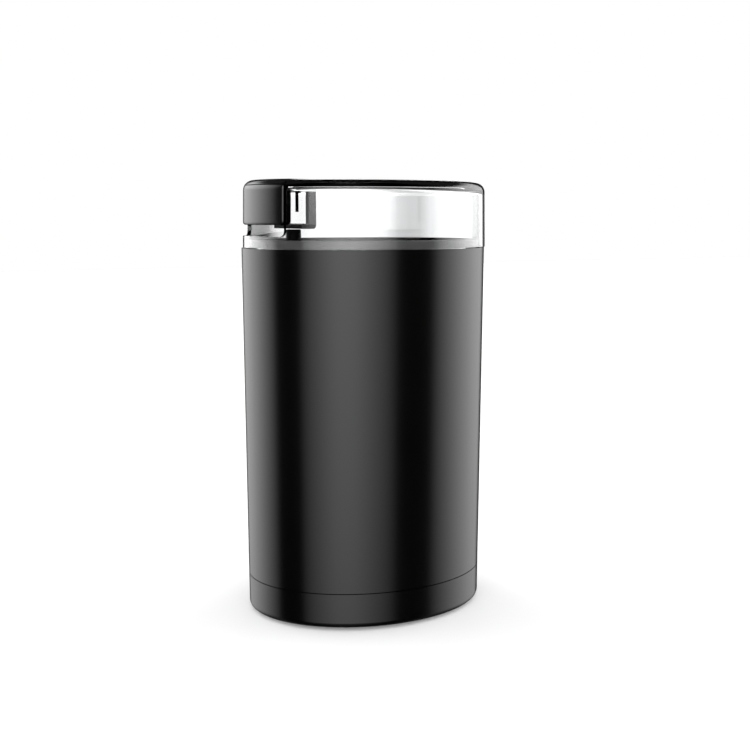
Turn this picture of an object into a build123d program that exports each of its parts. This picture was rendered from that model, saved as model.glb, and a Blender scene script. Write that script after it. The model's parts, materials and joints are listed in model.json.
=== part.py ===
from build123d import *
from math import atan2, cos, degrees, pi, radians, sin, sqrt
import os

os.makedirs("parts", exist_ok=True)

# Millimetres, +Z up, origin on the floor under the middle of the oval, the button at -X.

# Housing, an oval that draws in from the shoulder to the foot
housing_length = 101.0
housing_width = 82.0
housing_draw_in = 1.25
housing_wall = 2.4
shoulder_z = 147.0
seam_z = 14.7
seam_gap = 0.35
ledge_width = 1.8
ledge_height = 2.5

# Base cover, its screws and its feet
foot_stand = 1.0
base_floor = 2.6
base_edge_radius = 2.2
lip_height = 3.0
lip_wall = 1.6
lip_root = 4.0
base_screw_inset = 7.0
base_screw_angle = 37.5
base_boss_radius = 5.0
shell_boss_radius = 4.2
shell_boss_height = 12.0
foot_inset = 10.5
foot_angle = 60.0
foot_radius = 5.2
foot_recess = 1.2
vent_count = 12
vent_width = 2.2
vent_inner = 11.0
vent_outer = 21.5
inlet_width = 7.4
inlet_height = 8.0

# Bowl, its carrier and the collar
bay_length = 20.0
bowl_end_room = 4.0
bowl_side_room = 2.5
bowl_depth = 35.4
bowl_sheet = 0.7
bowl_corner = 8.0
rim_height = 3.3
rim_drop = 1.6
gasket_height = 0.8
sleeve_wall = 1.9
deck_thickness = 4.0
carrier_floor = 2.6
collar_wall = 1.6
collar_sink = 1.5
collar_round = 0.5
liner_wall = 0.8
bowl_screw_count = 3
bowl_screw_room = 3.4
bowl_screw_start = 45.0
carrier_screw_inset = 6.5
carrier_screw_angle = 35.0
carrier_boss_height = 8.0
tab_height = 3.0
tab_side = 4.5
tab_reach = 5.0

# Lid
lid_height = 26.0
lid_shift = 0.5
lid_wall = 1.6
lid_top = 2.2
lid_overhang = -0.1
lid_draft = 0.4
lid_edge_radius = 4.0
lid_inner_radius = 2.2
pocket_wall = 1.2
pocket_gap = 0.4
pocket_step = 0.3
window_angle = 22.5
window_corner = 2.0

# Button in the lid
button_proud = 0.4
button_gap = 0.35
button_wall = 2.2
button_top = 1.4
button_return = 4.2
button_return_wall = 1.6
button_corner = 1.6
button_edge = 1.0
button_travel = 4.0
button_drop = 17.3
leg_setback = 2.3
leg_depth = 4.0
leg_drop = 1.5
web_width = 4.4
web_height = 2.0
push_gap = 0.3
hook_inset = 11.55
hook_width = 0.9
hook_wall = 0.8
port_width = 8.0
port_rise = 10.0
hook_drop = 12.4
lug_height = 2.0
lug_depth = 0.9

# Push rod under the button, its spring and its foot
rod_inset = 19.9
rod_radius = 2.9
rod_round = 0.6
rod_flange_radius = 3.9
rod_flange = 2.0
shank_radius = 1.8
spring_room = 12.0
spring_wire = 0.7
spring_turns = 5.0
shelf_height = 2.5
foot_arm_height = 3.6
foot_arm_width = 5.0
foot_pad_radius = 2.4

# Switch
switch_thickness = 10.2
switch_length = 27.8
switch_height = 15.9
switch_inset = 17.5
switch_screw_pitch = 22.2
switch_screw_rise = 4.4
lever_reach = 12.0
lever_tail = 3.0
lever_width = 4.4
lever_sheet = 0.5
lever_rise = 4.6
lever_pin_radius = 0.9
cheek_radius = 1.8
cheek_sheet = 2.0
plunger_reach = 6.0
plunger_width = 2.6
plunger_depth = 4.0
terminal_width = 4.8
terminal_sheet = 0.8
terminal_length = 6.0
terminal_y = 7.5
leg_inner_y = 8.2
leg_outer_y = 14.2

# Motor
mount_count = 4
mount_ring = 24.5
mount_start = 0.0
mount_boss_height = 4.0
mount_height = 6.0
mount_radius = 4.6
bracket_radius = 29.4
bracket_sheet = 3.0
bearing_radius = 6.5
bearing_length = 9.0
bearing_wall = 3.0
window_inner = 13.0
window_outer = 21.5
window_count = 4
window_sweep = 60.0
upper_post = 13.5
lower_post = 22.0
post_radius = 3.6
bolt_edge = 5.0
stator_length = 48.0
stator_width = 43.0
stator_corner = 6.0
stator_height = 24.0
air_gap = 0.6
rotor_radius = 14.9
coil_slot_angle = 27.0
coil_slot_radius = 21.3
coil_margin = 0.5
coil_overhang = 7.0
coil_spread = 0.3
slot_count = 12
slot_radius = 2.0
slot_ring = 11.6
slot_mouth = 1.2
winding_gap = 0.3
winding_overhang = 6.0
winding_inner = 5.0
commutator_radius = 9.5
commutator_hub_radius = 6.4
commutator_length = 10.5
commutator_split = 5.0
brush_width = 5.0
brush_height = 6.0
brush_length = 12.0
brush_wall = 0.8
brush_slack = 0.15
brush_lift = 0.3
brush_spring_room = 5.0
brush_wire = 0.5
brush_turns = 3.0
fan_radius = 23.5
fan_hub_radius = 6.5
fan_sheet = 1.4
fan_blade_height = 7.0
fan_blade_sheet = 1.2
fan_blade_count = 9
fan_lean = 24.0
washer_sheet = 0.8
washer_radius = 5.4

# Shaft, seal and blade
shaft_radius = 3.0
shaft_tail = 3.0
seal_radius = 9.0
seal_lip = 1.2
seal_flange = 2.0
hub_radius = 7.0
hub_base_radius = 8.4
hub_lift = 1.4
blade_height = 9.0
blade_room = 2.9
blade_sheet = 1.4
blade_root = 9.0
blade_tip_radius = 4.0
blade_tip_offset = 3.0
blade_up = 4.6
blade_down = 3.2
nut_flats = 10.0
nut_height = 5.0

# Screws
screw_radius = 1.5
screw_head_radius = 2.9
screw_head_height = 2.0
screw_socket = 1.0
pilot_bite = 0.1
base_screw_grip = 10.0
short_screw_grip = 5.0

# Board
board_inset = 14.5
board_sheet = 1.6
board_half_width = 16.4
board_low = 34.0
board_height = 44.0
rib_wall = 1.8
rib_reach = 2.4
capacitor_width = 18.0
capacitor_height = 14.0
capacitor_depth = 7.5
capacitor_rise = 12.0
lead_radius = 0.9
lead_bend = 2.2
lead_clear = 2.2
lead_drop = 18.0

# Fits
fit = 0.1
slip = 0.05
running = 0.06
clear = 0.4
past = 2.0
coil_steps = 4

# The bowl is as wide as the oval's width and the switch bay let it be
half_length = housing_length / 2
half_width = housing_width / 2
collar_inset = housing_wall + fit + collar_wall
sleeve_by_width = half_width - collar_inset - bowl_side_room
sleeve_by_length = half_length - collar_inset - (bay_length + bowl_end_room) / 2
sleeve_outer = min(sleeve_by_width, sleeve_by_length)
sleeve_inner = sleeve_outer - sleeve_wall
bowl_outer = sleeve_inner - clear
bowl_radius = bowl_outer - bowl_sheet
bowl_x = collar_inset + bay_length + sleeve_outer - half_length
bowl_screw_ring = bowl_radius - bowl_corner - bowl_screw_room
partition_radius = sleeve_outer + pocket_step
blade_reach = bowl_radius - blade_room

# Places counted from the button end
rod_x = rod_inset - half_length
switch_face_x = switch_inset - half_length
board_x = board_inset - half_length
rib_inner_x = board_x + rib_reach
hook_reach = bowl_x + half_length - hook_inset

# Heights and radii that follow
rim_z = shoulder_z + rim_height
bowl_rim_z = rim_z - rim_drop
lid_top_z = shoulder_z + lid_height
button_top_z = lid_top_z + button_proud
button_low_z = button_top_z - button_drop
leg_low_z = button_low_z - leg_drop
hook_low_z = button_top_z - hook_drop
port_low_z = shoulder_z + port_rise
port_top_z = lid_top_z - lid_top - clear
lug_low_z = port_top_z - clear - lug_height
deck_low_z = shoulder_z - deck_thickness
bowl_floor_z = bowl_rim_z - bowl_depth
sleeve_top_z = bowl_rim_z - bowl_sheet - gasket_height
floor_top_z = bowl_floor_z - bowl_sheet - clear
floor_low_z = floor_top_z - carrier_floor
rod_top_z = leg_low_z - push_gap
shelf_top_z = deck_low_z - rod_flange - spring_room
shelf_low_z = shelf_top_z - shelf_height
arm_low_z = shelf_low_z - foot_arm_height
lever_z = arm_low_z - clear - lever_rise
switch_top_z = lever_z - lever_pin_radius - clear
switch_low_z = switch_top_z - switch_height
switch_back_x = switch_face_x - switch_thickness
switch_x = (switch_face_x + switch_back_x) / 2
bracket_top_z = floor_low_z - mount_boss_height - mount_height
bracket_low_z = bracket_top_z - bracket_sheet
stator_top_z = bracket_low_z - upper_post
stator_low_z = stator_top_z - stator_height
lower_top_z = stator_low_z - lower_post
lower_low_z = lower_top_z - bracket_sheet
bearing_drop = (bearing_length - bracket_sheet) / 2
fan_top_z = lower_low_z - bearing_drop - washer_sheet - clear
fan_low_z = fan_top_z - fan_blade_height - fan_sheet
shaft_low_z = fan_low_z - shaft_tail
blade_z = bowl_floor_z + blade_height
bore_radius = rotor_radius + air_gap
bolt_x = stator_length / 2 - bolt_edge
bolt_y = stator_width / 2 - bolt_edge
winding_low_z = stator_low_z - winding_gap - winding_overhang
commutator_top_z = winding_low_z - clear
commutator_low_z = commutator_top_z - commutator_length
brush_z = (commutator_top_z + commutator_low_z) / 2
brush_face = commutator_radius + brush_lift
brush_back = brush_face + brush_length
holder_end = brush_back + brush_spring_room
shell_low_z = seam_z + seam_gap
shell_boss_z = seam_z + lip_height + clear
pilot_radius = screw_radius + pilot_bite


def disc(radius, low, high, x=0.0, y=0.0):
    upright = (Align.CENTER, Align.CENTER, Align.MIN)
    return Pos(x, y, low) * Cylinder(radius, high - low, align=upright)


def ring(outer, inner, low, high, x=0.0, y=0.0):
    return disc(outer, low, high, x, y) - disc(inner, low - past, high + past, x, y)


def block(x0, x1, y0, y1, z0, z1):
    middle = Pos((x0 + x1) / 2, (y0 + y1) / 2, (z0 + z1) / 2)
    return middle * Box(x1 - x0, y1 - y0, z1 - z0)


def bar(x, y, wide_x, wide_y, low, high):
    return block(x - wide_x / 2, x + wide_x / 2, y - wide_y / 2, y + wide_y / 2, low, high)


def group(pieces):
    return Compound(children=list(pieces))


def oval(z, grow):
    pull = housing_draw_in * (shoulder_z - z) / (shoulder_z - foot_stand)
    return Pos(0, 0, z) * Ellipse(half_length - pull + grow, half_width - pull + grow)


def oval_block(low, high, grow):
    return loft([oval(low, grow), oval(high, grow)], ruled=True)


def oval_ring(low, high, outer_grow, inner_grow):
    return oval_block(low, high, outer_grow) - oval_block(low - past, high + past, inner_grow)


def edges_at(shape, z):
    return shape.edges().filter_by_position(Axis.Z, z - slip, z + slip)


def sector(outer, inner, start, sweep_angle, low, high):
    profile = Plane.XZ * Pos((outer + inner) / 2, (low + high) / 2) * Rectangle(outer - inner, high - low)
    return Pos(bowl_x, 0, 0) * Rot(0, 0, start) * revolve(profile, Axis.Z, sweep_angle)


def around(count, radius, start):
    step = 2 * pi / count
    turns = [radians(start) + i * step for i in range(count)]
    return [(bowl_x + radius * cos(turn), radius * sin(turn)) for turn in turns]


def inset_point(inset, angle):
    # Point of the foot's oval, drawn in from the housing's face.
    turn = radians(angle)
    return (half_length - inset) * cos(turn), (half_width - inset) * sin(turn)


def mirrored_points(x, y):
    return [(sx * x, sy * y) for sx in (-1, 1) for sy in (-1, 1)]


def screw(grip):
    # Pan head at the origin with its cross recess below, shank upward.
    body = disc(screw_head_radius, -screw_head_height, 0) + disc(screw_radius, -slip, grip)
    slot = Pos(0, 0, -screw_head_height) * Box(screw_socket, 2 * screw_radius, screw_socket)
    return body - slot - Rot(0, 0, 90) * slot


def arc_pair(start, start_way, end, end_way):
    # Two arcs that leave the start and reach the end along the given directions.
    span = end - start
    ways = start_way + end_way
    bend = 2 * (1 - start_way.dot(end_way))
    along = span.dot(ways)
    reach = (sqrt(along * along + bend * span.dot(span)) - along) / bend
    first = start + start_way * reach
    second = end - end_way * reach
    middle = (first + second) * 0.5
    middle_way = (second - first).normalized()
    return [
        Edge.make_tangent_arc(start, start_way, middle),
        Edge.make_tangent_arc(middle, middle_way, end),
    ]


def coil(radius, wire, turns, length):
    # Compression spring about +Z from z = 0, the wire held inside its length.
    rise = length - 2 * (wire + slip)
    steps = int(turns * coil_steps)
    sweep_all = 2 * pi * turns

    def place(i):
        turn = sweep_all * i / steps
        return Vector(radius * cos(turn), radius * sin(turn), wire + slip + rise * i / steps)

    def way(i):
        turn = sweep_all * i / steps
        return Vector(-radius * sin(turn), radius * cos(turn), rise / sweep_all).normalized()

    edges = []
    for i in range(steps):
        edges += arc_pair(place(i), way(i), place(i + 1), way(i + 1))
    gap = rise / turns - wire * 2
    print("coil least gap between turns, mm:", round(gap, 2))
    section = Plane(origin=place(0), z_dir=way(0)) * Circle(wire)
    return sweep(section, path=Wire(edges))


# Housing


def base_screw_points():
    return mirrored_points(*inset_point(base_screw_inset, base_screw_angle))


def foot_points():
    return mirrored_points(*inset_point(foot_inset, foot_angle))


def carrier_screw_points():
    x, y = inset_point(carrier_screw_inset, carrier_screw_angle)
    return [(-x, -y), (-x, y)]


def body_shell():
    shell = oval_ring(shell_low_z, shoulder_z, 0, -housing_wall)
    ledge = oval_ring(deck_low_z - ledge_height, deck_low_z, -housing_wall + fit, -housing_wall - ledge_width)
    ledge -= disc(sleeve_outer + clear, 0, shoulder_z, bowl_x)
    screw_x, screw_y = inset_point(carrier_screw_inset, carrier_screw_angle)
    ledge_end_y = screw_y + 2 * screw_head_radius
    tab_x = tab_reach - screw_x
    ledge -= block(-housing_length, tab_x, -ledge_end_y, ledge_end_y, 0, shoulder_z)
    shell += ledge
    room = oval_block(shell_low_z, shoulder_z, -housing_wall + fit)
    tab_top = deck_low_z - carrier_boss_height
    for side in (-1, 1):
        low_y, high_y = sorted((side * (screw_y - tab_side), side * housing_width))
        tab = block(-housing_length, tab_x, low_y, high_y, tab_top - tab_height, tab_top) & room
        shell += tab - disc(screw_radius + clear, 0, shoulder_z, -screw_x, side * screw_y)
    for x, y in base_screw_points():
        boss = disc(shell_boss_radius, shell_boss_z, shell_boss_z + shell_boss_height, x, y) & room
        shell += boss - disc(pilot_radius, 0, shell_boss_z + base_screw_grip + clear, x, y)
    for side in (-1, 1):
        edge = board_half_width + fit
        low_y, high_y = sorted((side * (edge - rib_wall), side * (edge + rib_wall)))
        rib_top = board_low + board_height
        rib = block(-housing_length, rib_inner_x, low_y, high_y, board_low - rib_wall, rib_top) & room
        half = board_sheet / 2 + fit
        slot = block(board_x - half, board_x + half, -edge, edge, board_low, shoulder_z)
        shell += rib - slot
    return shell


def base_cover():
    outer = oval_block(foot_stand, seam_z, 0)
    outer = fillet(edges_at(outer, foot_stand), base_edge_radius)
    floor_z = foot_stand + base_floor
    cover = outer - oval_block(floor_z, seam_z + past, -housing_wall)
    lip_in = -housing_wall - lip_wall
    cover += oval_ring(seam_z - lip_root, seam_z, -housing_wall + fit, lip_in)
    cover += oval_ring(seam_z - fit, seam_z + lip_height, -housing_wall - fit, lip_in)
    inside = oval_block(floor_z - fit, shell_boss_z, -housing_wall - fit)
    for x, y in base_screw_points():
        cover += disc(base_boss_radius, floor_z - fit, shell_boss_z, x, y) & inside
        cover -= disc(screw_radius + clear, 0, shoulder_z, x, y)
        cover -= disc(screw_head_radius + clear, 0, shell_boss_z - base_floor, x, y)
    for x, y in foot_points():
        cover -= disc(foot_radius + fit, 0, foot_stand + foot_recess, x, y)
    slot = block(vent_inner, vent_outer, -vent_width / 2, vent_width / 2, 0, floor_z + past)
    for i in range(vent_count):
        cover -= Pos(bowl_x, 0, 0) * Rot(0, 0, 360 / vent_count * (i + 0.5)) * slot
    inlet_top = seam_z - seam_gap
    round_z = inlet_top - inlet_height + inlet_width / 2
    half = inlet_width / 2
    inlet = block(-half, half, 0, housing_width, round_z, inlet_top)
    inlet += Pos(0, 0, round_z) * Rot(-90, 0, 0) * disc(half, 0, housing_width)
    return cover - inlet


def rubber_feet():
    foot = disc(foot_radius, 0, foot_stand + foot_recess)
    foot = fillet(edges_at(foot, 0), foot_stand / 2)
    return group(Pos(x, y, 0) * foot for x, y in foot_points())


def base_screws():
    head_z = shell_boss_z - base_floor
    return group(Pos(x, y, head_z) * screw(base_screw_grip) for x, y in base_screw_points())


# Bowl and deck


def bowl_carrier():
    edge = -housing_wall - fit
    deck = oval_block(deck_low_z, shoulder_z, edge)
    lined = edge - collar_wall - slip
    deck -= oval_ring(shoulder_z - collar_sink, shoulder_z + past, edge + past, lined)
    liner = oval_ring(shoulder_z - fit, rim_z, lined, lined - liner_wall)
    deck += liner - disc(sleeve_outer + clear, shoulder_z, rim_z + past, bowl_x)
    shape = deck + disc(sleeve_outer, floor_low_z, sleeve_top_z, bowl_x)
    shape += disc(bracket_radius, floor_low_z, floor_top_z, bowl_x)
    for side in (-1, 1):
        low_y, high_y = sorted((side * leg_inner_y, side * leg_outer_y))
        shape += block(switch_face_x, bowl_x - bowl_radius, low_y, high_y, switch_low_z, deck_low_z + fit)
    shelf_x = rod_x - rod_flange_radius
    shape += block(shelf_x, bowl_x - bowl_radius, -leg_outer_y, leg_outer_y, shelf_low_z, shelf_top_z)
    for x, y in carrier_screw_points():
        shape += disc(screw_head_radius, deck_low_z - carrier_boss_height, deck_low_z + fit, x, y)
        shape -= disc(pilot_radius, 0, deck_low_z - clear, x, y)
    boss_low = floor_low_z - mount_boss_height
    for x, y in around(mount_count, mount_ring, mount_start):
        shape += disc(screw_head_radius, boss_low, floor_low_z + fit, x, y)
    for x, y in around(bowl_screw_count, bowl_screw_ring, bowl_screw_start):
        shape += disc(screw_head_radius, boss_low, floor_low_z + fit, x, y)
    shape -= disc(sleeve_inner, floor_top_z, rim_z + past, bowl_x)
    for x, y in around(mount_count, mount_ring, mount_start):
        shape -= disc(pilot_radius, 0, floor_top_z - clear, x, y)
    for x, y in around(bowl_screw_count, bowl_screw_ring, bowl_screw_start):
        shape -= disc(pilot_radius, 0, rim_z, x, y)
    shape -= disc(seal_radius + fit, 0, rim_z, bowl_x)
    shape -= disc(rod_radius + running, deck_low_z - past, rim_z, rod_x)
    shape -= disc(shank_radius + running, shelf_low_z - past, shelf_top_z + past, rod_x)
    for side in (-1, 1):
        shape -= switch_screw_hole(side, pilot_radius)
    return shape


def switch_screw_hole(side, radius):
    at = Pos(switch_back_x - past, side * switch_screw_pitch / 2, switch_low_z + switch_screw_rise)
    return at * Rot(0, 90, 0) * disc(radius, 0, switch_thickness + past + short_screw_grip + clear)


def collar_ring():
    edge = -housing_wall - fit
    band = oval_ring(shoulder_z - collar_sink, rim_z, edge - slip, edge - collar_wall)
    return fillet(edges_at(band, rim_z), collar_round)


def carrier_screws():
    head_z = deck_low_z - carrier_boss_height - tab_height
    grip = tab_height + short_screw_grip
    return group(Pos(x, y, head_z) * screw(grip) for x, y in carrier_screw_points())


def grinding_bowl():
    floor_z = bowl_floor_z - bowl_sheet
    cup = disc(bowl_outer, floor_z, bowl_rim_z, bowl_x)
    cup = fillet(edges_at(cup, floor_z), bowl_corner + bowl_sheet)
    hollow = disc(bowl_radius, bowl_floor_z, rim_z + past, bowl_x)
    hollow = fillet(edges_at(hollow, bowl_floor_z), bowl_corner)
    flange = disc(sleeve_outer, bowl_rim_z - bowl_sheet, bowl_rim_z, bowl_x)
    bowl = cup + flange - hollow - disc(seal_radius - seal_lip, 0, rim_z, bowl_x)
    for x, y in around(bowl_screw_count, bowl_screw_ring, bowl_screw_start):
        bowl -= disc(screw_radius + clear, 0, rim_z, x, y)
    return bowl


def bowl_gasket():
    return ring(sleeve_outer, bowl_outer + fit, sleeve_top_z, bowl_rim_z - bowl_sheet, bowl_x)


def bowl_screws():
    points = around(bowl_screw_count, bowl_screw_ring, bowl_screw_start)
    down = Rot(180, 0, 0) * screw(short_screw_grip)
    return group(Pos(x, y, bowl_floor_z) * down for x, y in points)


def shaft_seal():
    under = bowl_floor_z - bowl_sheet
    bore = shaft_radius + clear
    seal = disc(seal_radius, floor_low_z, under, bowl_x)
    seal += disc(seal_radius - seal_lip - fit, under - fit, bowl_floor_z + seal_flange / 2, bowl_x)
    cup = disc(bore + seal_lip, floor_low_z - past, under - seal_flange, bowl_x)
    return seal - disc(bore, 0, rim_z, bowl_x) - cup


# Lid


def lid_oval(z, grow):
    pull = lid_draft * (z - shoulder_z) / lid_height
    edge = lid_overhang - pull + grow
    return Pos(lid_shift, 0, z) * Ellipse(half_length + edge, half_width + edge)


def lid_block(low, high, grow):
    return loft([lid_oval(low, grow), lid_oval(high, grow)], ruled=True)


def wedge(low, high, inset, inner):
    # Slice of the button end between two flanks, outside a cylinder about the bowl.
    lean = radians(window_angle)
    tip = bowl_x - inset / sin(lean)
    far_x = tip - housing_length * cos(lean)
    far_y = housing_length * sin(lean)
    plan = make_face(Polyline((tip, 0), (far_x, far_y), (far_x, -far_y), close=True))
    return extrude(Pos(0, 0, low) * plan, high - low) - disc(inner, low - past, high + past, bowl_x)


def round_flanks(shape, z, radius):
    flank_edges = edges_at(shape, z).filter_by(GeomType.LINE).filter_by(Axis.Y, reverse=True)
    return fillet(flank_edges, radius)


def on_flank(side):
    return Pos(bowl_x, 0, 0) * Rot(0, 0, 180 - side * window_angle)


def lid_shell():
    outer = lid_block(shoulder_z, lid_top_z, 0)
    outer = fillet(edges_at(outer, lid_top_z), lid_edge_radius)
    inner_top = lid_top_z - lid_top
    hollow = lid_block(shoulder_z - past, inner_top, -lid_wall)
    hollow = fillet(edges_at(hollow, inner_top), lid_inner_radius)
    wall_low = rim_z + pocket_gap
    walls = wedge(wall_low, lid_top_z, -pocket_wall, partition_radius - pocket_wall)
    walls -= wedge(wall_low - past, lid_top_z + past, 0, partition_radius)
    window_z = button_low_z - button_travel - button_gap
    window = wedge(window_z, lid_top_z + past, 0, partition_radius)
    window = round_flanks(window, window_z, window_corner)
    lid = (outer - hollow) + (walls & outer) - window
    port = bar(hook_reach, 0, port_width, 2 * (pocket_wall + clear), port_low_z, port_top_z)
    for side in (-1, 1):
        lid -= on_flank(side) * port
    return lid


def flank_pieces(side, inner, top):
    # Leg and hook of one flank, drawn along +X from the bowl's axis.
    low_y, high_y = sorted((side * button_gap, side * (button_gap + button_return_wall)))
    leg = block(inner + leg_setback, inner + leg_setback + leg_depth, low_y, high_y, leg_low_z, top)
    corner = leg.edges().filter_by(Axis.Y).sort_by(lambda edge: edge.center().X + edge.center().Z)[0]
    leg = fillet(corner, button_corner)
    start = hook_reach - hook_width / 2
    end = hook_reach + hook_width / 2
    low_y, high_y = sorted((side * button_gap, side * (button_gap + hook_wall)))
    hook = block(start, end, low_y, high_y, hook_low_z, top)
    low_y, high_y = sorted((-side * lug_depth, side * (button_gap + fit)))
    return leg + (hook + block(start, end, low_y, high_y, lug_low_z, lug_low_z + lug_height))


def is_front_edge(edge):
    # Upright edge where a flank meets the front wall.
    return edge.bounding_box().size.Z > button_drop / 2 and edge.center().X < rod_x


def lid_button():
    # Cap with a front wall, and under it two legs joined by the web that pushes the rod.
    outer = lid_block(shoulder_z, button_top_z, 0)
    outer = fillet(edges_at(outer, button_top_z), lid_edge_radius)
    inner = partition_radius + button_gap
    whole = wedge(button_low_z, button_top_z, button_gap, inner)
    whole = round_flanks(whole, button_low_z, button_corner) & outer
    whole = fillet([edge for edge in whole.edges() if is_front_edge(edge)], button_edge)
    plate_low = button_top_z - button_top
    between = wedge(shoulder_z, plate_low, button_gap + button_return_wall, inner - past)
    behind = lid_block(shoulder_z - past, button_top_z, -button_wall)
    deep = lid_block(shoulder_z - past, plate_low, -button_return)
    button = whole - (between & behind) - deep
    for side in (-1, 1):
        for piece in (on_flank(side) * flank_pieces(side, inner, plate_low + fit)).solids():
            button += piece
    web_top = leg_low_z + web_height
    web = bar(rod_x, 0, web_width, housing_width, leg_low_z, web_top)
    return button + (web & wedge(leg_low_z, web_top, button_gap + fit, inner))


# Push rod and switch


def push_rod():
    pin = disc(rod_radius, deck_low_z - fit, rod_top_z)
    pin = fillet(edges_at(pin, rod_top_z), rod_round)
    pin += disc(rod_flange_radius, deck_low_z - rod_flange, deck_low_z)
    pin += disc(shank_radius, arm_low_z + foot_arm_height / 4, deck_low_z - rod_flange + fit)
    return Pos(rod_x, 0, 0) * pin


def rod_foot():
    top = shelf_low_z
    arm = block(switch_x, rod_x, -foot_arm_width / 2, foot_arm_width / 2, arm_low_z, top)
    arm += disc(foot_arm_width / 2, arm_low_z, top, rod_x) + disc(foot_pad_radius, arm_low_z, top, switch_x)
    return arm - disc(shank_radius + slip, arm_low_z + foot_arm_height / 4, top + past, rod_x)


def rod_spring():
    radius = (shank_radius + rod_flange_radius) / 2
    spring = coil(radius, spring_wire / 2, spring_turns, spring_room)
    return Pos(rod_x, 0, shelf_top_z) * spring


def microswitch():
    half = switch_length / 2
    case = block(switch_back_x, switch_face_x, -half, half, switch_low_z, switch_top_z)
    hinge = Pos(0, lever_reach, lever_z) * Rot(0, 90, 0)
    for side in (-1, 1):
        cheek_x = switch_x + side * (lever_width / 2 + fit + cheek_sheet / 2)
        case += hinge * disc(cheek_radius, cheek_x - cheek_sheet / 2, cheek_x + cheek_sheet / 2)
        case += bar(cheek_x, lever_reach, cheek_sheet, 2 * cheek_radius, switch_top_z - fit, lever_z)
    case -= hinge * disc(lever_pin_radius + running, switch_back_x, switch_face_x)
    well_low = switch_top_z - switch_height / 2
    plunger_y = lever_reach - plunger_reach
    case -= bar(switch_x, plunger_y, plunger_depth + 2 * fit, plunger_width + 2 * fit, well_low, lever_z)
    recess = block(-housing_length, switch_back_x + screw_head_height, -half, half, 0, switch_top_z)
    tab_low = switch_low_z - terminal_length
    for side in (-1, 1):
        case -= switch_screw_hole(side, screw_radius + clear)
        case -= switch_screw_hole(side, screw_head_radius + clear) & recess
        case += bar(switch_x, side * terminal_y, terminal_sheet, terminal_width, tab_low, switch_low_z + fit)
    return case


def switch_lever():
    # Sheet lever drawn lying flat from its pivot toward -Y, then raised to its rest slope.
    half = lever_width / 2
    sheet = block(-half, half, -lever_reach - lever_tail, 0, 0, lever_sheet)
    pin_half = half + fit + cheek_sheet
    curl = Rot(0, 90, 0) * disc(lever_pin_radius, -pin_half, pin_half)
    rise = Rot(-degrees(atan2(lever_rise - lever_sheet, lever_reach + foot_pad_radius)), 0, 0)
    return Pos(switch_x, lever_reach, lever_z) * rise * (sheet + curl)


def switch_plunger():
    y = lever_reach - plunger_reach
    slope = (lever_rise - lever_sheet) / (lever_reach + foot_pad_radius)
    top = lever_z + (plunger_reach - plunger_width / 2) * slope - clear
    low = switch_top_z - switch_height / 4
    half_x = plunger_depth / 2
    half_y = plunger_width / 2
    return block(switch_x - half_x, switch_x + half_x, y - half_y, y + half_y, low, top)


def switch_screws():
    pieces = []
    for side in (-1, 1):
        seat_x = switch_back_x + screw_head_height
        at = Pos(seat_x, side * switch_screw_pitch / 2, switch_low_z + switch_screw_rise)
        pieces.append(at * Rot(0, 90, 0) * screw(switch_face_x + short_screw_grip - seat_x))
    return group(pieces)


# Motor, fixed half


def frame_posts(low, high):
    return [disc(post_radius, low, high, bowl_x + x, y) for x, y in mirrored_points(bolt_x, bolt_y)]


def bearing_bracket(low, post_low, post_high, shifted):
    # Round plate with a bearing boss, four posts to the stator and air windows.
    high = low + bracket_sheet
    plate = disc(bracket_radius, low, high, bowl_x)
    pitch = 360 / window_count
    for i in range(window_count):
        start = (i + shifted) * pitch + (pitch - window_sweep) / 2
        plate -= sector(window_outer, window_inner, start, window_sweep, low - past, high + past)
    plate += disc(bearing_radius + bearing_wall, low - bearing_drop, high + bearing_drop, bowl_x)
    for post in frame_posts(post_low, post_high):
        plate += post
    plate -= disc(bearing_radius + slip, low - past - bearing_drop, high + past + bearing_drop, bowl_x)
    for x, y in mirrored_points(bolt_x, bolt_y):
        plate -= disc(screw_radius + clear, post_low - past, post_high + past, bowl_x + x, y)
    return plate


def upper_bracket():
    bracket = bearing_bracket(bracket_low_z, stator_top_z, bracket_top_z, 0)
    for x, y in around(mount_count, mount_ring, mount_start):
        bracket -= disc(screw_radius + clear, 0, rim_z, x, y)
    return bracket


def lower_bracket():
    bracket = bearing_bracket(lower_low_z, lower_low_z, stator_low_z, 0.5)
    holder_low = brush_z - brush_height / 2 - brush_slack - brush_wall
    half = brush_width / 2 + brush_slack + brush_wall
    for side in (-1, 1):
        low_y, high_y = sorted((side * (window_outer - clear), side * holder_end))
        bracket += block(bowl_x - half, bowl_x + half, low_y, high_y, lower_low_z + fit, holder_low)
    return bracket


def bush(low):
    middle = low + bracket_sheet / 2
    half = bearing_length / 2
    return ring(bearing_radius, shaft_radius + running, middle - half, middle + half, bowl_x)


def motor_mounts():
    low = bracket_top_z
    high = low + mount_height
    points = around(mount_count, mount_ring, mount_start)
    return group(ring(mount_radius, screw_radius + clear, low, high, x, y) for x, y in points)


def mount_screws():
    grip = bracket_sheet + mount_height + mount_boss_height
    points = around(mount_count, mount_ring, mount_start)
    return group(Pos(x, y, bracket_low_z) * screw(grip) for x, y in points)


def stator_core():
    plan = Pos(bowl_x, 0, stator_low_z) * RectangleRounded(stator_length, stator_width, stator_corner)
    core = extrude(plan, stator_height) - disc(bore_radius, 0, shoulder_z, bowl_x)
    for start in (-coil_slot_angle, 180 - coil_slot_angle):
        low = stator_low_z - past
        high = stator_top_z + past
        core -= sector(coil_slot_radius, bore_radius - past, start, 2 * coil_slot_angle, low, high)
    for x, y in mirrored_points(bolt_x, bolt_y):
        core -= disc(screw_radius + clear, 0, shoulder_z, bowl_x + x, y)
    return core


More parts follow.
